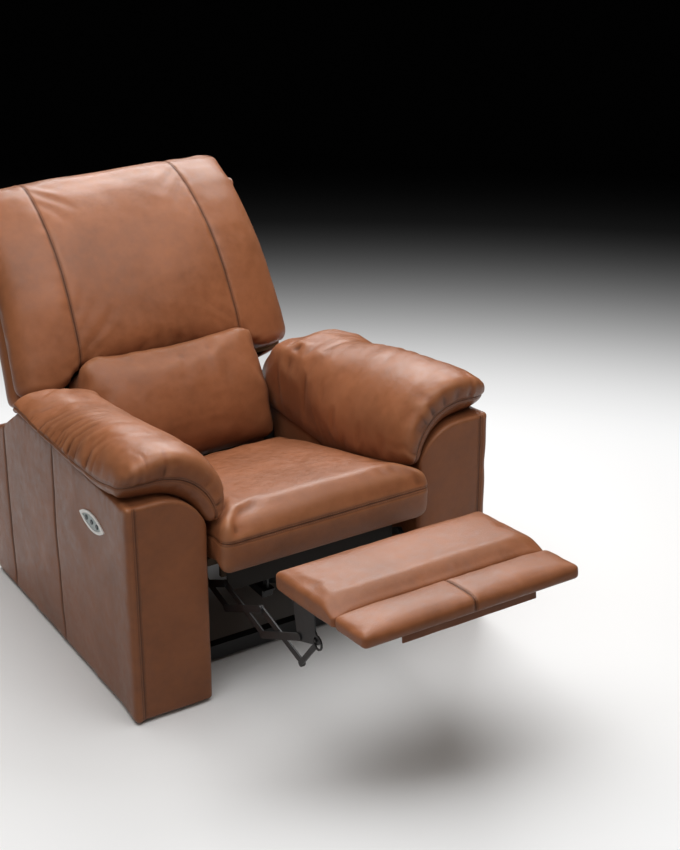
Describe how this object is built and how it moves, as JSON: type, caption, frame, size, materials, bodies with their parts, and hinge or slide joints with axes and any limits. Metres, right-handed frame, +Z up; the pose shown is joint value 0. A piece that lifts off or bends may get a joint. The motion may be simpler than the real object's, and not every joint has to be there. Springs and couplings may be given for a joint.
{
  "type": "power recliner",
  "caption": "Power recliner armchair in brown leather: hinged back with lumbar pillow, padded arms, switch in one arm, and a footrest with a folding front part on a scissor linkage.",
  "frame": {"origin": "on the floor, under the middle of the opened chair's overall box", "axes": "+Z up; -Y the way the sitter faces; +X to the sitter's left; positive turns about +X carry the front downwards and the rear upwards"},
  "size_m": [1.0035, 1.9173, 0.9832],
  "materials": {
    "brown_leather": "semi-gloss, soft grain",
    "black_steel": "satin black",
    "black_cloth": "matt woven",
    "black_board": "matt black",
    "plywood": "bare",
    "silver_trim": "satin",
    "switch_face": "grey-green, satin",
    "black_plastic": "matt"
  },
  "bodies": {
    "base": {"arm_left": "brown_leather", "arm_pad_left": "brown_leather", "arm_pad_right": "brown_leather", "arm_right": "brown_leather", "back_drive_motor": "black_plastic", "back_drive_rail": "black_steel", "cross_rail_front": "black_steel", "cross_rail_rear": "black_steel", "footrest_drive_motor": "black_plastic", "footrest_drive_rail": "black_steel", "front_fascia": "black_cloth", "glide_front_left": "black_plastic", "glide_front_right": "black_plastic", "glide_rear_left": "black_plastic", "glide_rear_right": "black_plastic", "hinge_bracket_left": "black_steel", "hinge_bracket_right": "black_steel", "mid_cross_tube": "black_steel", "power_inlet": "black_plastic", "rear_panel": "black_cloth", "seat_cushion": "brown_leather", "seat_frame": "plywood", "side_plate_left": "black_steel", "side_plate_right": "black_steel", "side_rail_left": "black_steel", "side_rail_right": "black_steel", "switch_plate": "switch_face", "switch_rim": "silver_trim"},
    "link_a_down": {"footrest_drive_tube": "black_steel", "link_a_down_left": "black_steel", "link_a_down_right": "black_steel"},
    "link_a_up": {"link_a_up_left": "black_steel", "link_a_up_right": "black_steel"},
    "link_b_up": {"link_b_up_left": "black_steel", "link_b_up_right": "black_steel"},
    "link_b_down": {"link_b_down_left": "black_steel", "link_b_down_right": "black_steel"},
    "link_c_down": {"link_c_down_left": "black_steel", "link_c_down_right": "black_steel"},
    "link_c_up": {"link_c_up_left": "black_steel", "link_c_up_right": "black_steel"},
    "tilt_links": {"tilt_link_left": "black_steel", "tilt_link_right": "black_steel"},
    "footrest": {"footrest_board": "plywood", "footrest_bracket_left": "black_steel", "footrest_bracket_right": "black_steel", "footrest_pad": "brown_leather"},
    "flipper": {"flipper_board": "plywood", "flipper_flap": "brown_leather", "flipper_pad": "brown_leather"},
    "footrest_drive_block": {"footrest_drive_block": "black_steel"},
    "back_drive_block": {"back_drive_block": "black_steel"},
    "back": {"back_cushion": "brown_leather", "back_frame": "black_board", "back_rear_cover": "brown_leather", "lumbar_pillow": "brown_leather"},
    "button_close": {"button_close": "black_plastic"},
    "button_stop": {"button_stop": "black_plastic"},
    "button_open": {"button_open": "black_plastic"}
  },
  "joints": [
    {"name": "footrest_fold", "type": "hinge", "parent": "base", "child": "link_a_down", "pos_m": [0, -0.1146, 0.29156], "axis": [1, 0, 0], "range_deg": [0, 62.2]},
    {"name": "link_a_up_turn", "type": "hinge", "parent": "link_a_down", "child": "link_a_up", "pos_m": [0, -0.2069, 0.26907], "axis": [1, 0, 0], "range_deg": [-124.5, 0]},
    {"name": "link_b_up_turn", "type": "hinge", "parent": "link_a_down", "child": "link_b_up", "pos_m": [0, -0.2992, 0.24657], "axis": [1, 0, 0], "range_deg": [-124.5, 0]},
    {"name": "link_b_down_turn", "type": "hinge", "parent": "link_b_up", "child": "link_b_down", "pos_m": [0, -0.38436, 0.28866], "axis": [1, 0, 0], "range_deg": [0, 124.5]},
    {"name": "link_c_down_turn", "type": "hinge", "parent": "link_b_up", "child": "link_c_down", "pos_m": [0, -0.46953, 0.33076], "axis": [1, 0, 0], "range_deg": [0, 124.5]},
    {"name": "link_c_up_turn", "type": "hinge", "parent": "link_c_down", "child": "link_c_up", "pos_m": [0, -0.56183, 0.30826], "axis": [1, 0, 0], "range_deg": [-124.5, 0]},
    {"name": "tilt_link_turn", "type": "hinge", "parent": "link_c_down", "child": "tilt_links", "pos_m": [0, -0.65412, 0.28576], "axis": [1, 0, 0], "range_deg": [-97.44, 0]},
    {"name": "footrest_turn", "type": "hinge", "parent": "link_c_up", "child": "footrest", "pos_m": [0, -0.64699, 0.35036], "axis": [1, 0, 0], "range_deg": [0, 158.1]},
    {"name": "flipper_turn", "type": "hinge", "parent": "footrest", "child": "flipper", "pos_m": [0, -0.83884, 0.47036], "axis": [1, 0, 0], "range_deg": [0, 174.1]},
    {"name": "footrest_drive", "type": "slide", "parent": "base", "child": "footrest_drive_block", "axis": [0, 1, 0], "range_m": [0, 0.10341]},
    {"name": "back_recline", "type": "hinge", "parent": "base", "child": "back", "pos_m": [0, 0.449, 0.3], "axis": [1, 0, 0], "range_deg": [-8, 18]},
    {"name": "back_drive", "type": "slide", "parent": "base", "child": "back_drive_block", "axis": [0, 1, 0], "range_m": [-0.01394, 0.03125]},
    {"name": "button_close_press", "type": "slide", "parent": "base", "child": "button_close", "axis": [1, 0, 0], "range_m": [0, 0.0012], "stiffness_N_per_m": 1000, "springref_m": -0.0005},
    {"name": "button_stop_press", "type": "slide", "parent": "base", "child": "button_stop", "axis": [1, 0, 0], "range_m": [0, 0.0012], "stiffness_N_per_m": 1000, "springref_m": -0.0005},
    {"name": "button_open_press", "type": "slide", "parent": "base", "child": "button_open", "axis": [1, 0, 0], "range_m": [0, 0.0012], "stiffness_N_per_m": 1000, "springref_m": -0.0005}
  ],
  "couplings": [
    {"joint": "link_a_up_turn", "follows": "footrest_fold", "ratio": -2},
    {"joint": "link_b_up_turn", "follows": "footrest_fold", "ratio": -2},
    {"joint": "link_b_down_turn", "follows": "footrest_fold", "ratio": 2},
    {"joint": "link_c_down_turn", "follows": "footrest_fold", "ratio": 2},
    {"joint": "link_c_up_turn", "follows": "footrest_fold", "ratio": -2},
    {"joint": "tilt_link_turn", "follows": "footrest_fold", "ratio": -1.565},
    {"joint": "footrest_turn", "follows": "footrest_fold", "ratio": 2.5402},
    {"joint": "flipper_turn", "follows": "footrest_fold", "ratio": 2.7974},
    {"joint": "footrest_drive", "follows": "footrest_fold", "m_per_rad": 0.095161},
    {"joint": "back_drive", "follows": "back_recline", "m_per_rad": 0.099144}
  ]
}
